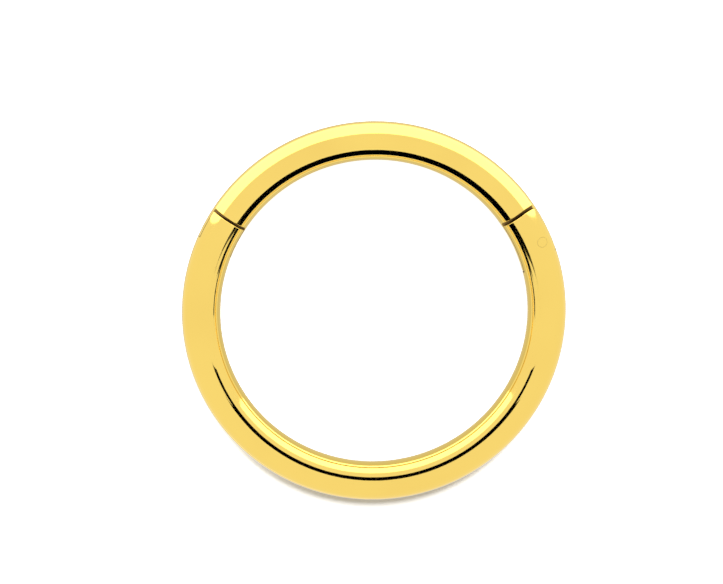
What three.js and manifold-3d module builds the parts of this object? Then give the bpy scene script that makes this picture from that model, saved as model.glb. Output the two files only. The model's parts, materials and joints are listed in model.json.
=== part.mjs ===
// Clicker ring: a round-wire piercing ring with a hinged segment that swings out and clicks shut.
// Millimetres, +Z up. The ring lies on its side with its axis along Z, resting on z = 0,
// and its centre is over the origin. The hinged segment is on the +Y side.
import * as THREE from 'three';
import { mergeVertices } from 'three/addons/utils/BufferGeometryUtils.js';
import Module from 'manifold-3d';

// The wire and the ring
const wireDiameter = 1.2;
const insideDiameter = 9.5;
const sectionSides = 24;
const ringSteps = 96;

// The two seams, as angles round the ring from +X
const hingeSeamAngle = 35;
const catchSeamAngle = 147;
const hingeSeamGap = 0.1;
const catchSeamGap = 0.08;

// The hinge: a pin parallel to the ring's axis, in the body's two cheeks
const pinDiameter = 0.3;
const pinDepth = 1.1; // from the seam into the body
const pinOutward = 0.165; // from the wire's centreline at the seam
const pinSides = 24;
const cheekHoleFit = 0.02; // radial
const tongueHoleFit = 0.03; // radial

// The flat tongues on the segment's ends, and the slots they lie in
const tongueThickness = 0.44;
const slotThickness = 0.5;
const tongueRoot = 0.5; // how far a tongue runs back into the segment
const hingeTailRadius = 0.49; // round the pin
const hingeSlotRadius = 0.52; // round the pin
const catchTongueLength = 0.95; // past the seam
const catchTongueCorner = 0.05;
const catchSlotDepth = 0.98; // past the seam

const polishedGold = { color: 0xf2cd6a, roughness: 0.12, metalness: 1 };

// Sizes worked out from these
const wireRadius = wireDiameter / 2;
const ringRadius = insideDiameter / 2 + wireRadius;
const reach = wireDiameter; // a plan outline runs this far either side of the wire's centreline
const planHeight = 2 * wireDiameter;
const seamArcSpan = 65; // degrees of arc round the pin, enough to cross the wire's outer half

const wasm = await Module();
wasm.setup();

function solidFrom(geometry) {
  geometry.deleteAttribute('normal');
  geometry.deleteAttribute('uv');
  const merged = mergeVertices(geometry);
  const mesh = new wasm.Mesh({
    numProp: 3,
    vertProperties: new Float32Array(merged.attributes.position.array),
    triVerts: new Uint32Array(merged.index.array),
  });
  return new wasm.Manifold(mesh);
}

function pieceFrom(name, solid) {
  const { vertProperties, triVerts } = solid.getMesh();
  const geometry = new THREE.BufferGeometry();
  geometry.setAttribute('position', new THREE.BufferAttribute(vertProperties, 3));
  geometry.setIndex(new THREE.BufferAttribute(triVerts, 1));
  geometry.computeVertexNormals();
  const piece = new THREE.Mesh(geometry, new THREE.MeshStandardMaterial(polishedGold));
  piece.name = name;
  return piece;
}

// A seam has its own axes: x runs along the wire, clockwise round the ring, and y runs outwards.
function seamTurn(seamAngle) {
  return THREE.MathUtils.degToRad(seamAngle - 90);
}

function seamPoint(seamAngle, x, y) {
  return new THREE.Vector2(x, ringRadius + y).rotateAround(new THREE.Vector2(), seamTurn(seamAngle));
}

function slab(outline, thickness) {
  const geometry = new THREE.ExtrudeGeometry(outline, { depth: thickness, bevelEnabled: false });
  return geometry.translate(0, 0, -thickness / 2);
}

function slabAtSeam(seamAngle, outline, thickness) {
  const geometry = slab(outline, thickness).translate(0, ringRadius, 0);
  return solidFrom(geometry.rotateZ(seamTurn(seamAngle)));
}

// The whole hoop of wire. Its section has a flat underneath, so that it rests on a level ring.
function wireHoop() {
  const cornerRadius = wireRadius / Math.cos(Math.PI / sectionSides);
  const section = [];
  for (let i = 0; i <= sectionSides; i += 1) {
    const angle = ((i + 0.5) * 2 * Math.PI) / sectionSides;
    const radial = ringRadius + cornerRadius * Math.cos(angle);
    section.push(new THREE.Vector2(radial, cornerRadius * Math.sin(angle)));
  }
  return solidFrom(new THREE.LatheGeometry(section, ringSteps).rotateX(Math.PI / 2));
}

// The plan between the seams. Side -1 draws it back by half of each gap, which gives the segment's own
// outline, and side 1 widens it, which gives the space left in the body. The hinge seam is straight on
// the pin's inner side and an arc round the pin on its outer side, so that the segment's shoulder slides
// round the ends of the body's cheeks.
function segmentPlan(side) {
  const hingeX = (side * hingeSeamGap) / 2;
  const catchX = (-side * catchSeamGap) / 2;
  const pin = seamPoint(hingeSeamAngle, pinDepth, pinOutward);
  const arcStart = Math.PI + seamTurn(hingeSeamAngle);
  const arcEnd = arcStart - THREE.MathUtils.degToRad(seamArcSpan);
  const halfSpan = THREE.MathUtils.degToRad((catchSeamAngle - hingeSeamAngle) / 2);
  const apexOutward = (ringRadius + reach) / Math.cos(halfSpan) - ringRadius;
  const apex = seamPoint((hingeSeamAngle + catchSeamAngle) / 2, 0, apexOutward);
  const plan = new THREE.Shape();
  plan.setFromPoints([
    seamPoint(catchSeamAngle, catchX, reach),
    seamPoint(catchSeamAngle, catchX, -reach),
    seamPoint(hingeSeamAngle, hingeX, -reach),
  ]);
  plan.absarc(pin.x, pin.y, pinDepth - hingeX, arcStart, arcEnd, true);
  plan.lineTo(apex.x, apex.y);
  return plan;
}

function rectangle(fromX, toX) {
  return new THREE.Shape([
    new THREE.Vector2(fromX, -reach),
    new THREE.Vector2(toX, -reach),
    new THREE.Vector2(toX, reach),
    new THREE.Vector2(fromX, reach),
  ]);
}

// The hinge tongue and its slot end square on the pin's inner side, and round the pin on its outer side,
// where the tongue's tail turns inside the slot.
function hingeTabPlan(rootX, endRadius) {
  const plan = new THREE.Shape();
  plan.moveTo(rootX, reach);
  plan.lineTo(rootX, -reach);
  plan.lineTo(pinDepth + endRadius, -reach);
  plan.absarc(pinDepth, pinOutward, endRadius, 0, Math.PI / 2, false);
  plan.lineTo(pinDepth, reach);
  return plan;
}

// The catch tongue's tip has its inner corner taken off, to lead it into its slot.
function catchTonguePlan() {
  const innerEdge = -wireRadius;
  const plan = new THREE.Shape();
  plan.moveTo(tongueRoot, reach);
  plan.lineTo(-catchTongueLength, reach);
  plan.lineTo(-catchTongueLength, innerEdge + catchTongueCorner);
  plan.lineTo(-catchTongueLength + catchTongueCorner, innerEdge);
  plan.lineTo(-catchTongueLength + catchTongueCorner, -reach);
  plan.lineTo(tongueRoot, -reach);
  return plan;
}

function pinRod(radius) {
  const rod = new THREE.CylinderGeometry(radius, radius, planHeight, pinSides).rotateX(Math.PI / 2);
  const place = seamPoint(hingeSeamAngle, pinDepth, pinOutward);
  return solidFrom(rod.translate(place.x, place.y, 0));
}

function ringBody(hoop) {
  const segmentSpace = solidFrom(slab(segmentPlan(1), planHeight));
  const hingeSlot = slabAtSeam(hingeSeamAngle, hingeTabPlan(-reach, hingeSlotRadius), slotThickness);
  const catchSlot = slabAtSeam(catchSeamAngle, rectangle(-catchSlotDepth, reach), slotThickness);
  const pinHole = pinRod(pinDiameter / 2 + cheekHoleFit);
  return hoop.subtract(segmentSpace).subtract(hingeSlot).subtract(catchSlot).subtract(pinHole);
}

function hingeSegment(hoop) {
  const arc = solidFrom(slab(segmentPlan(-1), planHeight));
  const hingeTongue = slabAtSeam(hingeSeamAngle, hingeTabPlan(-tongueRoot, hingeTailRadius), tongueThickness);
  const catchTongue = slabAtSeam(catchSeamAngle, catchTonguePlan(), tongueThickness);
  const pinHole = pinRod(pinDiameter / 2 + tongueHoleFit);
  return hoop.intersect(arc.add(hingeTongue).add(catchTongue)).subtract(pinHole);
}

// The pin's ends are dressed flush with the wire.
function hingePin(hoop) {
  return hoop.intersect(pinRod(pinDiameter / 2));
}

const hoop = wireHoop();
const clickerRing = new THREE.Group();
clickerRing.add(pieceFrom('ring_body', ringBody(hoop)));
clickerRing.add(pieceFrom('hinge_segment', hingeSegment(hoop)));
clickerRing.add(pieceFrom('hinge_pin', hingePin(hoop)));
clickerRing.position.z = wireRadius;

export default clickerRing;
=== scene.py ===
"""Clicker ring: a polished gold piercing ring whose segment swings out on a hidden hinge.

The ring lies on its side with its axis along Z. Each piece is modelled in millimetres and
brought to metres when it is finished.
"""

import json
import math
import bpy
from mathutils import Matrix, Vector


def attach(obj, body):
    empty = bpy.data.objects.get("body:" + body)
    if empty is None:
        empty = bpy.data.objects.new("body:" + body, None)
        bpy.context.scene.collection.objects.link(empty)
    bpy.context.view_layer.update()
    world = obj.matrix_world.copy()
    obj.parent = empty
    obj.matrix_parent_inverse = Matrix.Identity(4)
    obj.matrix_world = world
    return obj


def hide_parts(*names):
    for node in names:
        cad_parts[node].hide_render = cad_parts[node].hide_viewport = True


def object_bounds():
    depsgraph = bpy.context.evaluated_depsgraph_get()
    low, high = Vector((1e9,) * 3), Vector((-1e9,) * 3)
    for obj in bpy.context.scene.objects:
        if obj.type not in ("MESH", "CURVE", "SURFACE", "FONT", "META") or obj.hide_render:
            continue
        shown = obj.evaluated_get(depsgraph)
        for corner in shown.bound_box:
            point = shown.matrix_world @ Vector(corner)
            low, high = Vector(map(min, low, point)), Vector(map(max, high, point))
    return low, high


bl_info = {
    "name": "Clicker Ring",
    "version": (1, 0, 0),
    "blender": (4, 5, 0),
    "location": "View3D > Sidebar > Clicker Ring",
    "description": "Models a hinged gold piercing ring and the stage it lies on",
    "category": "Add Mesh",
}

import bmesh
import bpy
from bpy.props import FloatProperty, FloatVectorProperty, PointerProperty
from mathutils import Matrix, Vector

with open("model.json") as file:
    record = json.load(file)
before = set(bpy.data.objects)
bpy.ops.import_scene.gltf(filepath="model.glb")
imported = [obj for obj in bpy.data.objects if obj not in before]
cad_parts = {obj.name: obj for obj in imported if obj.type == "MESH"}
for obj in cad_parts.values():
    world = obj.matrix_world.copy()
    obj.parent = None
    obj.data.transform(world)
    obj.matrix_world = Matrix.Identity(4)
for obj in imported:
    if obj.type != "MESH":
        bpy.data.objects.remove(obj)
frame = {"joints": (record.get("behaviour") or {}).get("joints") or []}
CAD_LOW, CAD_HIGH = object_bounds()
HINGE = frame["joints"][0]

MM = 0.001
QUARTER = math.radians(90)

# How finely the wire is divided
SECTION_SIDES = 120
WIRE_STEP = math.radians(0.8)
TONGUE_STEP = math.radians(3)
HOOP_STEPS = 360
PIN_SIDES = 64
CUTTER_STEPS = 48
SCREEN_SIDES = 180
EDGE_SEGMENTS = 3
SMOOTH_ANGLE = math.radians(32)
ON_WIRE_ANGLE = math.radians(8)  # a face that leans less than this from the wire's surface is part of it
TOUCH = 1e-4  # millimetres, for telling what lies on a plane

# How a seam's outer edges are found: the first two in wire radii, the last a cosine
SEAM_NEAR = 1.5
SURFACE_NEAR = 0.01
RUNS_ALONG = 0.9

# The hinge and the catch, in millimetres
HINGE_SLOT_RADIUS = 0.52  # round the pin
HINGE_TAIL_RADIUS = 0.51  # round the pin
CATCH_SLOT_DEPTH = 0.96
CATCH_TONGUE_LENGTH = 0.95
SPARE = 0.25  # how far a tongue is spun past its end before it is cut to length
LAST_STEP_BACK = 0.25  # the wire's last step before the hinge seam, which the seam's curve is cut in
LAST_STEP_PAST = 0.1
CUTTER_REACH = 1.2
PIN_ROD_LENGTH = 3  # in wire radii, before its ends are dressed flush

# The stage. The ring reflects a softbox, black flags that stand inside it, and a card under its wire.
FLOOR_SIZE = 0.8
FLOOR_ROUGHNESS = 0.8
FLOOR_GLOW = 1.0
FLOOR_FRONT_GLOW = 0.3
FLOOR_FADE = (-6.2 * MM, -3 * MM)  # along Y
SOFTBOX = {
    "low": -60 * MM,
    "high": 60 * MM,
    "low_radius": 80 * MM,
    "high_radius": 80 * MM,
    "start": math.radians(22),
    "end": math.radians(157),
}
CARD = {
    "low": -0.015 * MM,
    "high": -0.005 * MM,
    "low_radius": 6.4 * MM,
    "high_radius": 2.1 * MM,
    "start": 0,
    "end": 2 * math.pi,
}
WIDE_FLAG = {
    "low": 2.1 * MM,
    "high": 3.2 * MM,
    "low_radius": 4.6 * MM,
    "high_radius": 4.6 * MM,
    "start": math.radians(203),
    "end": math.radians(338),
}
MIDDLE_FLAG = {
    "low": 3.2 * MM,
    "high": 5 * MM,
    "low_radius": 4.6 * MM,
    "high_radius": 4.6 * MM,
    "start": math.radians(218),
    "end": math.radians(324),
}
TALL_FLAG = {
    "low": 5 * MM,
    "high": 9 * MM,
    "low_radius": 4.6 * MM,
    "high_radius": 3.7 * MM,
    "start": math.radians(229),
    "end": math.radians(313),
}
FLAGS = {"wide_flag": WIDE_FLAG, "middle_flag": MIDDLE_FLAG, "tall_flag": TALL_FLAG}
KEY_LEAN = math.radians(-24)
KEY_WIDTH = math.radians(14)
SURROUND_LIGHT = 1.0

# The camera, in metres except for its sensor's width in millimetres
SENSOR_WIDTH = 36
CLIP_START = MM
CLIP_END = 2
CAMERA_OFFSET = (-0.391 * MM, 0.595 * MM)  # across and up in the picture

# The finishes: noise per metre, and heights in metres
NOISE_LOW = 0.3
NOISE_HIGH = 0.7
WAVE_SCALE = 500
WAVE_DETAIL = 1
WAVE_HEIGHT = 0.008 * MM
LINE_SCALE = 24000
LINE_DETAIL = 2
LINE_STRETCH = 0.0006  # how far a radian round the ring counts, in metres
LINE_HEIGHT = 0.0002 * MM
MIRROR_ROUGHNESS = (0.04, 0.1)
GRAIN_SCALE = 30000
GRAIN_DETAIL = 3
GRAIN_HEIGHT = 0.002 * MM
GRAIN_SHADE = 0.6
SATIN_ROUGHNESS = (0.35, 0.55)


class RingSizes(bpy.types.PropertyGroup):
    """The ring's sizes"""

    wire_diameter: FloatProperty(
        name="Wire diameter",
        description="Thickness of the round wire",
        default=CAD_HIGH.z - CAD_LOW.z,
        unit="LENGTH",
        precision=6,
    )
    outside_diameter: FloatProperty(
        name="Outside diameter",
        description="Width of the whole ring",
        default=CAD_HIGH.x - CAD_LOW.x,
        unit="LENGTH",
        precision=6,
    )
    hinge_seam_angle: FloatProperty(
        name="Hinge seam",
        description="Where the segment's hinged end meets the body, round the ring from +X",
        default=math.radians(35),
        subtype="ANGLE",
    )
    catch_seam_angle: FloatProperty(
        name="Catch seam",
        description="Where the segment's free end meets the body, round the ring from +X",
        default=math.radians(147),
        subtype="ANGLE",
    )
    hinge_seam_gap: FloatProperty(
        name="Hinge seam gap",
        description="Width of the seam at the hinge",
        default=0.1 * MM,
        unit="LENGTH",
        precision=6,
    )
    catch_seam_gap: FloatProperty(
        name="Catch seam gap",
        description="Width of the seam at the catch",
        default=0.08 * MM,
        unit="LENGTH",
        precision=6,
    )
    tongue_thickness: FloatProperty(
        name="Tongue thickness",
        description="Thickness of the flat tongues on the segment's ends",
        default=0.44 * MM,
        unit="LENGTH",
        precision=6,
    )
    slot_thickness: FloatProperty(
        name="Slot thickness",
        description="Width of the slots that the tongues lie in",
        default=0.5 * MM,
        unit="LENGTH",
        precision=6,
    )
    pin_diameter: FloatProperty(
        name="Pin diameter",
        description="Thickness of the hinge pin",
        default=0.3 * MM,
        unit="LENGTH",
        precision=6,
    )
    pin_fit: FloatProperty(
        name="Pin fit",
        description="Clearance all round the pin in its holes",
        default=0.004 * MM,
        unit="LENGTH",
        precision=6,
    )
    edge_round: FloatProperty(
        name="Edge round",
        description="How far polishing has rounded the edges of the seams",
        default=0.025 * MM,
        unit="LENGTH",
        precision=6,
    )


class GoldFinish(bpy.types.PropertyGroup):
    """The gold's colours"""

    gold: FloatVectorProperty(
        name="Gold",
        description="Colour of the polished coating",
        default=(0.97, 0.71, 0.17),
        subtype="COLOR",
        min=0,
        max=1,
    )
    deep_gold: FloatVectorProperty(
        name="Deep gold",
        description="Colour where the coating is a little thicker",
        default=(0.91, 0.64, 0.15),
        subtype="COLOR",
        min=0,
        max=1,
    )
    # Darker than the real satin metal: the unpolished faces' own colour plus painted shade that makes the
    # seams read dark.
    shaded_cut_gold: FloatVectorProperty(
        name="Cut faces",
        description="Colour of the unpolished faces inside the seams",
        default=(0.34, 0.21, 0.065),
        subtype="COLOR",
        min=0,
        max=1,
    )


class StudioLook(bpy.types.PropertyGroup):
    """The floor, the light and the camera"""

    floor: FloatVectorProperty(
        name="Floor",
        description="Colour of the floor",
        default=(0.9, 0.9, 0.9),
        subtype="COLOR",
        min=0,
        max=1,
    )
    softbox_light: FloatProperty(
        name="Softbox",
        description="Brightness of the softbox in the ring's reflections",
        default=2.3,
        min=0,
    )
    card_light: FloatProperty(
        name="Card",
        description="Brightness of the card that the ring reflects in place of the floor",
        default=0.75,
        min=0,
    )
    key_light: FloatProperty(
        name="Key light",
        description="Strength of the light that casts the shadow",
        default=3.2,
        min=0,
    )
    pitch: FloatProperty(
        name="Pitch",
        description="How far the camera leans from straight above towards the segment",
        default=math.radians(10.5),
        subtype="ANGLE",
    )
    yaw: FloatProperty(
        name="Yaw",
        description="How far the camera leans from straight above towards the catch",
        default=math.radians(2.6),
        subtype="ANGLE",
    )
    picture_width: FloatProperty(
        name="Picture width",
        description="Width that the picture covers at the ring",
        default=22.37 * MM,
        unit="LENGTH",
        precision=6,
    )
    lens: FloatProperty(
        name="Lens",
        description="Focal length of the camera",
        default=300,
        subtype="DISTANCE_CAMERA",
    )


class RingPlan:
    """The ring's sizes in millimetres, and the places that follow from them."""

    def __init__(self, sizes):
        self.wire_radius = sizes.wire_diameter / MM / 2
        self.ring_radius = sizes.outside_diameter / MM / 2 - self.wire_radius
        self.hinge_seam = sizes.hinge_seam_angle
        self.catch_seam = sizes.catch_seam_angle
        self.hinge_gap = sizes.hinge_seam_gap / MM
        self.catch_gap = sizes.catch_seam_gap / MM
        self.tongue = sizes.tongue_thickness / MM
        self.slot = sizes.slot_thickness / MM
        self.pin_radius = sizes.pin_diameter / MM / 2
        self.pin_hole_radius = self.pin_radius + sizes.pin_fit / MM
        self.edge_round = sizes.edge_round / MM
        self.pin = Vector(HINGE["pos_m"]) / MM
        self.pin_at_seam = self.seam_axes(self.hinge_seam).inverted() @ self.pin

    def seam_axes(self, seam):
        """A seam's own axes from the wire's centreline: x along the wire, clockwise, y outwards, z up."""
        turn = Matrix.Rotation(seam - QUARTER, 4, "Z")
        return turn @ Matrix.Translation((0, self.ring_radius, self.wire_radius))

    def along(self, seam, distance):
        """The angle round the ring at a distance along the wire from a seam, clockwise."""
        return seam - math.atan2(distance, self.ring_radius)

    def from_centreline(self, point):
        """The shortest way from the wire's centreline to a point."""
        around = Vector((point.x, point.y, 0)).normalized() * self.ring_radius
        return point - around - Vector((0, 0, self.wire_radius))

    def depth_in_wire(self, point):
        """How far a point lies below the wire's surface."""
        return self.wire_radius - self.from_centreline(point).length


def start_section(plan, angle, strip=None):
    """Add a disc of the wire's section at an angle round the ring, split beside a middle strip if given."""
    bpy.ops.object.select_all(action="DESELECT")
    bpy.ops.mesh.primitive_circle_add(
        vertices=SECTION_SIDES,
        radius=plan.wire_radius,
        fill_type="NGON",
        location=(
            plan.ring_radius * math.cos(angle),
            plan.ring_radius * math.sin(angle),
            plan.wire_radius,
        ),
        rotation=(QUARTER, 0, angle),
    )
    bpy.ops.object.transform_apply(location=True, rotation=True, scale=True)
    bpy.ops.object.mode_set(mode="EDIT")
    bpy.ops.mesh.select_mode(type="FACE")
    bpy.ops.mesh.select_all(action="SELECT")
    if strip:
        for side in (-1, 1):
            height = plan.wire_radius + side * strip / 2
            bpy.ops.mesh.bisect(plane_co=(0, 0, height), plane_no=(0, 0, 1))
            bpy.ops.mesh.select_all(action="SELECT")
    return bpy.context.object


def spin_wire(start, end, step):
    """Spin the selected faces round the ring's axis from one angle to another."""
    steps = max(1, round(abs(end - start) / step))
    # A positive spin turns clockwise.
    bpy.ops.mesh.spin(steps=steps, angle=start - end, center=(0, 0, 0), axis=(0, 0, 1))


def select_end(plan, angle, wanted):
    """Select the end faces at an angle round the ring whose height from the wire's middle is wanted."""
    mesh = bpy.context.object.data
    outward = Vector((math.cos(angle), math.sin(angle), 0))
    across = Vector((-math.sin(angle), math.cos(angle), 0))
    bpy.ops.mesh.select_mode(type="FACE")
    bpy.ops.mesh.select_all(action="DESELECT")
    shape = bmesh.from_edit_mesh(mesh)
    found = 0
    for face in shape.faces:
        corners = [corner.co for corner in face.verts]
        level = all(abs(co.dot(across)) < TOUCH and co.dot(outward) > 0 for co in corners)
        if level and wanted(face.calc_center_median().z - plan.wire_radius):
            face.select_set(True)
            found += 1
    bmesh.update_edit_mesh(mesh)
    if not found:
        raise RuntimeError(f"no end face at {math.degrees(angle):.2f} degrees")


def select_edges(wanted):
    """Select the edges that are wanted."""
    mesh = bpy.context.object.data
    bpy.ops.mesh.select_mode(type="EDGE")
    bpy.ops.mesh.select_all(action="DESELECT")
    shape = bmesh.from_edit_mesh(mesh)
    shape.normal_update()
    found = 0
    for edge in shape.edges:
        if wanted(edge):
            edge.select_set(True)
            found += 1
    bmesh.update_edit_mesh(mesh)
    if not found:
        raise RuntimeError("no edge to round")


def round_seam_edges(plan, seam):
    """Round the outer edges of a seam's faces, as polishing does."""
    middle = Vector((math.cos(seam), math.sin(seam), 0)) * plan.ring_radius
    near = SEAM_NEAR * plan.wire_radius

    def seam_edge(edge):
        if not edge.is_manifold or not edge.is_convex:
            return False
        centre = (edge.verts[0].co + edge.verts[1].co) / 2
        if abs(plan.depth_in_wire(centre)) > SURFACE_NEAR * plan.wire_radius:
            return False
        along = edge.verts[1].co - edge.verts[0].co
        tangent = Vector((-centre.y, centre.x, 0)).normalized()
        runs_along = abs(along.normalized().dot(tangent)) > RUNS_ALONG
        close = (Vector((centre.x, centre.y, 0)) - middle).length < near
        return close and not runs_along and edge.calc_face_angle() > SMOOTH_ANGLE

    select_edges(seam_edge)
    bpy.ops.mesh.bevel(
        offset=plan.edge_round,
        offset_type="OFFSET",
        segments=EDGE_SEGMENTS,
        affect="EDGES",
        clamp_overlap=False,
    )


def tidy_mesh():
    """Merge what coincides and point every face outwards."""
    bpy.ops.mesh.select_all(action="SELECT")
    bpy.ops.mesh.remove_doubles(threshold=TOUCH)
    bpy.ops.mesh.normals_make_consistent(inside=False)


def cut(piece, cutter, operation="DIFFERENCE"):
    """Cut a piece with a cutter, or keep what both hold, and take the cutter away."""
    bpy.ops.object.select_all(action="DESELECT")
    piece.select_set(True)
    bpy.context.view_layer.objects.active = piece
    modifier = piece.modifiers.new("cut", "BOOLEAN")
    modifier.object = cutter
    modifier.operation = operation
    modifier.solver = "MANIFOLD"
    bpy.ops.object.modifier_apply(modifier=modifier.name)
    bpy.data.objects.remove(cutter, do_unlink=True)


def extend_side(axis, place, move):
    """Extrude the faces of the mesh that lie across an axis at one place along it."""
    mesh = bpy.context.object.data
    bpy.ops.mesh.select_mode(type="FACE")
    bpy.ops.mesh.select_all(action="DESELECT")
    shape = bmesh.from_edit_mesh(mesh)
    for face in shape.faces:
        face.select_set(all(abs(corner.co[axis] - place) < TOUCH for corner in face.verts))
    bmesh.update_edit_mesh(mesh)
    bpy.ops.mesh.extrude_region_move(TRANSFORM_OT_translate={"value": move})


def pin_block(plan, near, far, low, high, side):
    """A block between two distances from the pin, on the segment's side of it (-1) or the body's (1).

    It is straight on the pin's inner side and turns a quarter round the pin on its outer side.
    """
    pin = plan.pin_at_seam
    bpy.ops.object.select_all(action="DESELECT")
    bpy.ops.mesh.primitive_plane_add(size=1, rotation=(QUARTER, 0, 0))
    block = bpy.context.object
    block.scale = (far - near, high - low, 1)
    block.location = (pin.x + side * (near + far) / 2, pin.y, (low + high) / 2)
    bpy.ops.object.transform_apply(location=True, rotation=True, scale=True)
    bpy.ops.object.mode_set(mode="EDIT")
    bpy.ops.mesh.select_all(action="SELECT")
    turn = -side * QUARTER
    bpy.ops.mesh.spin(steps=CUTTER_STEPS, angle=turn, center=(pin.x, pin.y, 0), axis=(0, 0, 1))
    tidy_mesh()
    extend_side(1, pin.y, (0, -CUTTER_REACH, 0))
    tidy_mesh()
    bpy.ops.object.mode_set(mode="OBJECT")
    return block


def hinge_slot_block(plan):
    """The space of the hinge slot, run out past the seam."""
    pin = plan.pin_at_seam
    block = pin_block(plan, 0, HINGE_SLOT_RADIUS, -plan.slot / 2, plan.slot / 2, 1)
    bpy.ops.object.mode_set(mode="EDIT")
    extend_side(0, pin.x, (-pin.x - CUTTER_REACH, 0, 0))
    tidy_mesh()
    bpy.ops.object.mode_set(mode="OBJECT")
    return block


def seam_box(start, end, thickness):
    """A box between two distances along the wire, in a seam's own axes."""
    bpy.ops.object.select_all(action="DESELECT")
    bpy.ops.mesh.primitive_cube_add(size=1)
    box = bpy.context.object
    box.scale = (end - start, 2 * CUTTER_REACH, thickness)
    box.location.x = (start + end) / 2
    bpy.ops.object.transform_apply(location=True, rotation=True, scale=True)
    return box


def cut_at_seam(piece, block, plan, seam):
    """Cut a piece with a block that was made in a seam's own axes."""
    block.matrix_world = plan.seam_axes(seam)
    bpy.context.view_layer.update()
    cut(piece, block)


def pin_rod(plan, radius):
    """A plain rod on the hinge's axis, longer than the wire is thick."""
    bpy.ops.object.select_all(action="DESELECT")
    bpy.ops.mesh.primitive_cylinder_add(
        vertices=PIN_SIDES,
        radius=radius,
        depth=PIN_ROD_LENGTH * plan.wire_radius,
        location=plan.pin,
    )
    bpy.ops.object.transform_apply(location=True, rotation=True, scale=True)
    return bpy.context.object


def wire_hoop(plan):
    """The whole hoop of wire, uncut."""
    bpy.ops.object.select_all(action="DESELECT")
    bpy.ops.mesh.primitive_torus_add(
        major_segments=HOOP_STEPS,
        minor_segments=SECTION_SIDES,
        major_radius=plan.ring_radius,
        minor_radius=plan.wire_radius,
        location=(0, 0, plan.wire_radius),
    )
    bpy.ops.object.transform_apply(location=True, rotation=True, scale=True)
    return bpy.context.object


def round_normals(piece, plan):
    """Shade the wire's own surface as truly round, also beside the cuts."""
    mesh = piece.data
    normals = [corner.vector.copy() for corner in mesh.corner_normals]
    for face in mesh.polygons:
        if face.normal.angle(plan.from_centreline(face.center), math.pi) > ON_WIRE_ANGLE:
            continue
        for index in face.loop_indices:
            point = mesh.vertices[mesh.loops[index].vertex_index].co
            normals[index] = plan.from_centreline(point).normalized()
    mesh.normals_split_custom_set(normals)


def finish_piece(piece, name, plan, materials, body, node):
    """Smooth a piece, bring it to metres, give it its finishes and tie it to the frame."""
    piece.name = name
    piece.data.name = name
    bpy.ops.object.select_all(action="DESELECT")
    piece.select_set(True)
    bpy.context.view_layer.objects.active = piece
    # The cuts leave an empty slot behind.
    piece.data.materials.clear()
    for material in materials:
        piece.data.materials.append(material)
    # Faces below the wire's surface take the satin finish, whose darkened colour is painted seam shade.
    for face in piece.data.polygons:
        depth = plan.depth_in_wire(face.center)
        face.material_index = int(depth > plan.edge_round)
    bpy.ops.object.shade_smooth_by_angle(angle=SMOOTH_ANGLE)
    round_normals(piece, plan)
    piece.scale = (MM, MM, MM)
    bpy.ops.object.transform_apply(location=True, rotation=True, scale=True)
    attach(piece, body)
    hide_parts(node)


def inside_strip(half):
    """Tells the middle strip's end face."""
    return lambda height: abs(height) < half


def whole_end(height):
    """Tells all of the end faces."""
    return True


def model_ring_body(plan):
    """The long fixed arc, with a slot in each end for the segment's tongues."""
    catch_face = plan.along(plan.catch_seam, -plan.catch_gap / 2) - 2 * math.pi
    last_step = plan.along(plan.hinge_seam, LAST_STEP_BACK)
    past_seam = plan.along(plan.hinge_seam, -LAST_STEP_PAST)
    body = start_section(plan, last_step)
    spin_wire(last_step, catch_face, WIRE_STEP)
    select_end(plan, last_step, whole_end)
    spin_wire(last_step, past_seam, math.pi)
    tidy_mesh()
    bpy.ops.object.mode_set(mode="OBJECT")
    cheek_end = plan.pin_at_seam.x - plan.hinge_gap / 2
    height = 2 * plan.wire_radius
    seam_block = pin_block(plan, cheek_end, cheek_end + CUTTER_REACH, -height, height, -1)
    cut_at_seam(body, seam_block, plan, plan.hinge_seam)
    bpy.ops.object.mode_set(mode="EDIT")
    tidy_mesh()
    round_seam_edges(plan, plan.hinge_seam)
    round_seam_edges(plan, plan.catch_seam)
    bpy.ops.object.mode_set(mode="OBJECT")
    cut_at_seam(body, hinge_slot_block(plan), plan, plan.hinge_seam)
    catch_slot = seam_box(-CATCH_SLOT_DEPTH, CUTTER_REACH, plan.slot)
    cut_at_seam(body, catch_slot, plan, plan.catch_seam)
    cut(body, pin_rod(plan, plan.pin_hole_radius))
    return body


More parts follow.
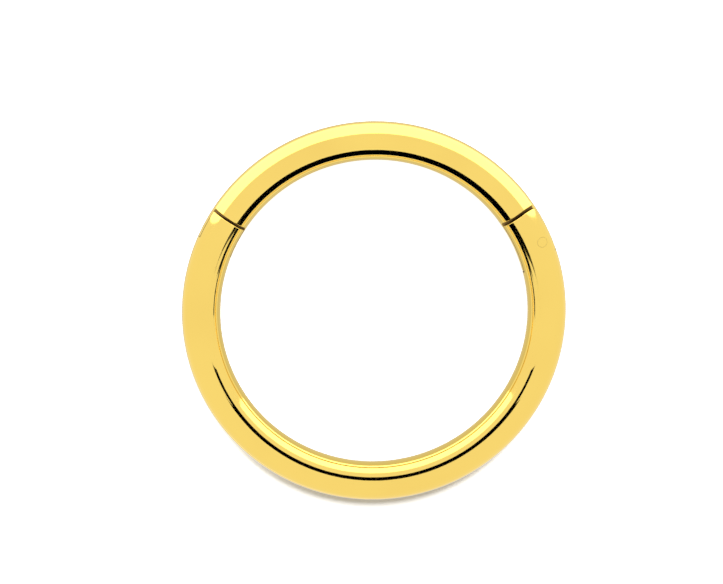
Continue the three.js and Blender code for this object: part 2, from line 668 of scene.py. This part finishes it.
def model_hinge_segment(plan):
    """The short arc that swings, with a flat tongue at each end."""
    half = plan.tongue / 2
    strip = inside_strip(half)
    pin_depth = plan.pin_at_seam.x
    catch_face = plan.along(plan.catch_seam, plan.catch_gap / 2)
    past_tip = plan.along(plan.catch_seam, -CATCH_TONGUE_LENGTH - SPARE)
    last_step = plan.along(plan.hinge_seam, -LAST_STEP_BACK)
    past_seam = plan.along(plan.hinge_seam, LAST_STEP_PAST)
    past_tail = plan.along(plan.hinge_seam, pin_depth + HINGE_TAIL_RADIUS + SPARE)
    segment = start_section(plan, last_step, plan.tongue)
    spin_wire(last_step, catch_face, WIRE_STEP)
    select_end(plan, catch_face, strip)
    spin_wire(catch_face, past_tip, TONGUE_STEP)
    select_end(plan, last_step, whole_end)
    spin_wire(last_step, past_seam, math.pi)
    tidy_mesh()
    bpy.ops.object.mode_set(mode="OBJECT")
    shoulder = pin_depth + plan.hinge_gap / 2
    height = 2 * plan.wire_radius
    for low, high in ((half, height), (-height, -half)):
        shoulder_block = pin_block(plan, pin_depth / 2, shoulder, low, high, -1)
        cut_at_seam(segment, shoulder_block, plan, plan.hinge_seam)
    bpy.ops.object.mode_set(mode="EDIT")
    tidy_mesh()
    select_end(plan, past_seam, strip)
    spin_wire(past_seam, past_tail, TONGUE_STEP)
    tidy_mesh()
    round_seam_edges(plan, plan.hinge_seam)
    round_seam_edges(plan, plan.catch_seam)
    bpy.ops.object.mode_set(mode="OBJECT")
    tail_end = HINGE_TAIL_RADIUS + CUTTER_REACH
    tail_block = pin_block(plan, HINGE_TAIL_RADIUS, tail_end, -height, height, 1)
    cut_at_seam(segment, tail_block, plan, plan.hinge_seam)
    tip_box = seam_box(-CATCH_TONGUE_LENGTH - CUTTER_REACH, -CATCH_TONGUE_LENGTH, 2 * height)
    cut_at_seam(segment, tip_box, plan, plan.catch_seam)
    cut(segment, pin_rod(plan, plan.pin_hole_radius))
    return segment


def model_hinge_pin(plan):
    """The pin through the cheeks and the tongue, its ends dressed flush with the wire."""
    pin = pin_rod(plan, plan.pin_radius)
    cut(pin, wire_hoop(plan), "INTERSECT")
    return pin


class NodeSheet:
    """Adds and joins the nodes of one material."""

    def __init__(self, name):
        self.material = bpy.data.materials.new(name)
        self.material.use_nodes = True
        self.tree = self.material.node_tree
        self.shader = self.tree.nodes["Principled BSDF"]

    def add(self, kind, **settings):
        node = self.tree.nodes.new(kind)
        for name, value in settings.items():
            setattr(node, name, value)
        return node

    def join(self, source, target):
        self.tree.links.new(source, target)

    def math(self, operation, first, second):
        node = self.add("ShaderNodeMath", operation=operation)
        for socket, value in zip(node.inputs, (first, second)):
            if isinstance(value, bpy.types.NodeSocket):
                self.join(value, socket)
            else:
                socket.default_value = value
        return node.outputs["Value"]

    def noise(self, vector, scale, detail):
        node = self.add("ShaderNodeTexNoise")
        node.inputs["Scale"].default_value = scale
        node.inputs["Detail"].default_value = detail
        self.join(vector, node.inputs["Vector"])
        return node.outputs["Fac"]

    def spread(self, value, low, high):
        """Spreads the middle of a noise over a range."""
        node = self.add("ShaderNodeMapRange")
        node.inputs["From Min"].default_value = NOISE_LOW
        node.inputs["From Max"].default_value = NOISE_HIGH
        node.inputs["To Min"].default_value = low
        node.inputs["To Max"].default_value = high
        self.join(value, node.inputs["Value"])
        return node.outputs["Result"]

    def blend(self, value, low, high):
        """Blends two colours by a value."""
        node = self.add("ShaderNodeMix", data_type="RGBA")
        for socket in node.inputs:
            if socket.name == "A" and socket.type == "RGBA":
                socket.default_value = (*low, 1)
            if socket.name == "B" and socket.type == "RGBA":
                socket.default_value = (*high, 1)
        self.join(value, node.inputs["Factor"])
        return next(s for s in node.outputs if s.type == "RGBA")

    def bump(self, height, distance, below=None):
        node = self.add("ShaderNodeBump")
        node.inputs["Distance"].default_value = distance
        self.join(height, node.inputs["Height"])
        if below:
            self.join(below, node.inputs["Normal"])
        return node.outputs["Normal"]

    def wire_vector(self, stretch):
        """Coordinates that follow the wire: from the ring's axis, along the axis, and slowly round it."""
        place = self.add("ShaderNodeTexCoord").outputs["Object"]
        axes = self.add("ShaderNodeSeparateXYZ")
        self.join(place, axes.inputs["Vector"])
        squares = [self.math("POWER", axes.outputs[axis], 2.0) for axis in "XY"]
        outward = self.math("SQRT", self.math("ADD", *squares), 0.0)
        around = self.math("ARCTAN2", axes.outputs["Y"], axes.outputs["X"])
        vector = self.add("ShaderNodeCombineXYZ")
        self.join(outward, vector.inputs["X"])
        self.join(axes.outputs["Z"], vector.inputs["Y"])
        self.join(self.math("MULTIPLY", around, stretch), vector.inputs["Z"])
        return vector.outputs["Vector"]


def mirror_gold(finish):
    """Mirror-polished gold, a little wavy, with faint polishing lines along the wire."""
    sheet = NodeSheet("mirror_gold")
    place = sheet.add("ShaderNodeTexCoord").outputs["Object"]
    waves = sheet.noise(place, WAVE_SCALE, WAVE_DETAIL)
    lines = sheet.noise(sheet.wire_vector(LINE_STRETCH), LINE_SCALE, LINE_DETAIL)
    shader = sheet.shader
    shader.inputs["Metallic"].default_value = 1
    sheet.join(sheet.blend(waves, finish.gold, finish.deep_gold), shader.inputs["Base Color"])
    sheet.join(sheet.spread(lines, *MIRROR_ROUGHNESS), shader.inputs["Roughness"])
    wavy = sheet.bump(waves, WAVE_HEIGHT)
    sheet.join(sheet.bump(lines, LINE_HEIGHT, wavy), shader.inputs["Normal"])
    return sheet.material


def satin_seam_shade_gold(finish):
    """The satin faces inside the seams, which no polishing reaches, with their colour darkened as painted
    shade so that the seams read dark.
    """
    sheet = NodeSheet("satin_seam_shade_gold")
    place = sheet.add("ShaderNodeTexCoord").outputs["Object"]
    grain = sheet.noise(place, GRAIN_SCALE, GRAIN_DETAIL)
    shader = sheet.shader
    shader.inputs["Metallic"].default_value = 1
    darker = [channel * GRAIN_SHADE for channel in finish.shaded_cut_gold]
    sheet.join(sheet.blend(grain, darker, finish.shaded_cut_gold), shader.inputs["Base Color"])
    sheet.join(sheet.spread(grain, *SATIN_ROUGHNESS), shader.inputs["Roughness"])
    sheet.join(sheet.bump(grain, GRAIN_HEIGHT), shader.inputs["Normal"])
    return sheet.material


def ring_finishes(context):
    """The two finishes that all the pieces share, made once."""
    finish = context.scene.clicker_finish
    makers = {"mirror_gold": mirror_gold, "satin_seam_shade_gold": satin_seam_shade_gold}
    return [bpy.data.materials.get(name) or make(finish) for name, make in makers.items()]


class CLICKER_OT_ring_body(bpy.types.Operator):
    """Model the long fixed arc of the ring"""

    bl_idname = "clicker.ring_body"
    bl_label = "Ring Body"
    bl_options = {"REGISTER", "UNDO"}

    def execute(self, context):
        plan = RingPlan(context.scene.clicker_sizes)
        body = model_ring_body(plan)
        finish_piece(body, "ring_body_wire", plan, ring_finishes(context), "ring", "ring_body")
        return {"FINISHED"}


class CLICKER_OT_hinge_segment(bpy.types.Operator):
    """Model the segment that swings open"""

    bl_idname = "clicker.hinge_segment"
    bl_label = "Hinge Segment"
    bl_options = {"REGISTER", "UNDO"}

    def execute(self, context):
        plan = RingPlan(context.scene.clicker_sizes)
        segment = model_hinge_segment(plan)
        finishes = ring_finishes(context)
        finish_piece(segment, "hinge_segment_wire", plan, finishes, "segment", "hinge_segment")
        return {"FINISHED"}


class CLICKER_OT_hinge_pin(bpy.types.Operator):
    """Model the pin that the segment swings on"""

    bl_idname = "clicker.hinge_pin"
    bl_label = "Hinge Pin"
    bl_options = {"REGISTER", "UNDO"}

    def execute(self, context):
        plan = RingPlan(context.scene.clicker_sizes)
        pin = model_hinge_pin(plan)
        finish_piece(pin, "hinge_pin_rod", plan, ring_finishes(context), "ring", "hinge_pin")
        return {"FINISHED"}


def curved_screen(name, low, high, low_radius, high_radius, start, end):
    """A screen round the ring's axis between two heights, upright or leaning, and between two angles."""
    bpy.ops.object.select_all(action="DESELECT")
    bpy.ops.mesh.primitive_cone_add(
        vertices=SCREEN_SIDES,
        radius1=low_radius,
        radius2=high_radius,
        depth=high - low,
        end_fill_type="NOTHING",
        location=(0, 0, (low + high) / 2),
    )
    screen = bpy.context.object
    screen.name = name
    bpy.ops.object.transform_apply(location=True, rotation=True, scale=True)
    bpy.ops.object.mode_set(mode="EDIT")
    bpy.ops.mesh.select_mode(type="FACE")
    bpy.ops.mesh.select_all(action="DESELECT")
    shape = bmesh.from_edit_mesh(screen.data)
    for face in shape.faces:
        middle = face.calc_center_median()
        angle = math.atan2(middle.y, middle.x) % (2 * math.pi)
        face.select_set(not start <= angle <= end)
    bmesh.update_edit_mesh(screen.data)
    bpy.ops.mesh.delete(type="FACE")
    bpy.ops.object.mode_set(mode="OBJECT")
    return screen


def only_reflected(screen):
    """Make a stage surface show in the ring's reflections alone."""
    screen.visible_camera = False
    screen.visible_diffuse = False
    screen.visible_shadow = False


def glow(name, strength):
    """A plain white light surface, or a black one at no strength."""
    material = bpy.data.materials.new(name)
    material.use_nodes = True
    shader = material.node_tree.nodes["Principled BSDF"]
    shader.inputs["Base Color"].default_value = (0, 0, 0, 1)
    shader.inputs["Specular IOR Level"].default_value = 0
    shader.inputs["Emission Color"].default_value = (1, 1, 1, 1)
    shader.inputs["Emission Strength"].default_value = strength
    return material


def floor_finish(look):
    """Pale floor, lit from below except along its front."""
    sheet = NodeSheet("pale_floor")
    place = sheet.add("ShaderNodeTexCoord").outputs["Object"]
    axes = sheet.add("ShaderNodeSeparateXYZ")
    sheet.join(place, axes.inputs["Vector"])
    fade = sheet.add("ShaderNodeMapRange", interpolation_type="SMOOTHSTEP")
    fade.inputs["From Min"].default_value = FLOOR_FADE[0]
    fade.inputs["From Max"].default_value = FLOOR_FADE[1]
    fade.inputs["To Min"].default_value = FLOOR_FRONT_GLOW
    fade.inputs["To Max"].default_value = FLOOR_GLOW
    sheet.join(axes.outputs["Y"], fade.inputs["Value"])
    shader = sheet.shader
    shader.inputs["Base Color"].default_value = (*look.floor, 1)
    shader.inputs["Roughness"].default_value = FLOOR_ROUGHNESS
    shader.inputs["Specular IOR Level"].default_value = 0
    shader.inputs["Emission Color"].default_value = (1, 1, 1, 1)
    sheet.join(fade.outputs["Result"], shader.inputs["Emission Strength"])
    return sheet.material


class CLICKER_OT_stage(bpy.types.Operator):
    """Add the floor, the light, the screens that the ring reflects and the camera"""

    bl_idname = "clicker.stage"
    bl_label = "Stage"
    bl_options = {"REGISTER", "UNDO"}

    def execute(self, context):
        look = context.scene.clicker_look
        scene = context.scene
        scene.view_settings.view_transform = "Standard"
        bpy.ops.object.select_all(action="DESELECT")
        bpy.ops.mesh.primitive_plane_add(size=FLOOR_SIZE)
        floor = context.object
        floor.name = "floor"
        floor.visible_glossy = False
        floor.data.materials.append(floor_finish(look))

        world = bpy.data.worlds.new("studio")
        world.use_nodes = True
        background = world.node_tree.nodes["Background"]
        background.inputs["Color"].default_value = (1, 1, 1, 1)
        background.inputs["Strength"].default_value = SURROUND_LIGHT
        world.cycles_visibility.diffuse = False
        scene.world = world

        softbox = curved_screen("softbox", **SOFTBOX)
        softbox.data.materials.append(glow("softbox_light", look.softbox_light))
        only_reflected(softbox)
        black = glow("flag_black", 0)
        for name, place in FLAGS.items():
            flag = curved_screen(name, **place)
            flag.data.materials.append(black)
            only_reflected(flag)
        card = curved_screen("card", **CARD)
        card.data.materials.append(glow("card_light", look.card_light))
        only_reflected(card)

        bpy.ops.object.light_add(type="SUN", rotation=(KEY_LEAN, 0, 0))
        key = context.object
        key.name = "key"
        key.data.energy = look.key_light
        key.data.angle = KEY_WIDTH
        key.visible_glossy = False

        self.add_camera(context, look)
        return {"FINISHED"}

    def add_camera(self, context, look):
        bpy.ops.object.camera_add()
        camera = context.object
        camera.name = "camera"
        camera.data.lens = look.lens
        camera.data.sensor_width = SENSOR_WIDTH
        camera.data.clip_start = CLIP_START
        camera.data.clip_end = CLIP_END
        distance = look.picture_width * look.lens / camera.data.sensor_width
        lean = Matrix.Rotation(-look.pitch, 4, "X") @ Matrix.Rotation(-look.yaw, 4, "Y")
        centre = (CAD_LOW + CAD_HIGH) / 2
        offset = Vector((*CAMERA_OFFSET, distance))
        camera.matrix_world = Matrix.Translation(centre + lean @ offset) @ lean
        context.scene.camera = camera


class CLICKER_PT_parts(bpy.types.Panel):
    """Lists the ring's sizes, finishes and pieces"""

    bl_idname = "CLICKER_PT_parts"
    bl_label = "Clicker Ring"
    bl_space_type = "VIEW_3D"
    bl_region_type = "UI"
    bl_category = "Clicker Ring"

    def draw(self, context):
        layout = self.layout
        for group in ("clicker_sizes", "clicker_finish", "clicker_look"):
            settings = getattr(context.scene, group)
            column = layout.column(align=True)
            for name in settings.__annotations__:
                column.prop(settings, name)
        column = layout.column()
        for operator in OPERATORS:
            column.operator(operator.bl_idname)


GROUPS = {"clicker_sizes": RingSizes, "clicker_finish": GoldFinish, "clicker_look": StudioLook}
OPERATORS = (CLICKER_OT_ring_body, CLICKER_OT_hinge_segment, CLICKER_OT_hinge_pin, CLICKER_OT_stage)
CLASSES = (*GROUPS.values(), *OPERATORS, CLICKER_PT_parts)


def register():
    for item in CLASSES:
        bpy.utils.register_class(item)
    for name, group in GROUPS.items():
        setattr(bpy.types.Scene, name, PointerProperty(type=group))


def unregister():
    for name in GROUPS:
        delattr(bpy.types.Scene, name)
    for item in reversed(CLASSES):
        bpy.utils.unregister_class(item)


def main():
    register()
    bpy.ops.clicker.ring_body()
    bpy.ops.clicker.hinge_segment()
    bpy.ops.clicker.hinge_pin()
    bpy.ops.clicker.stage()


if __name__ == "__main__":
    main()
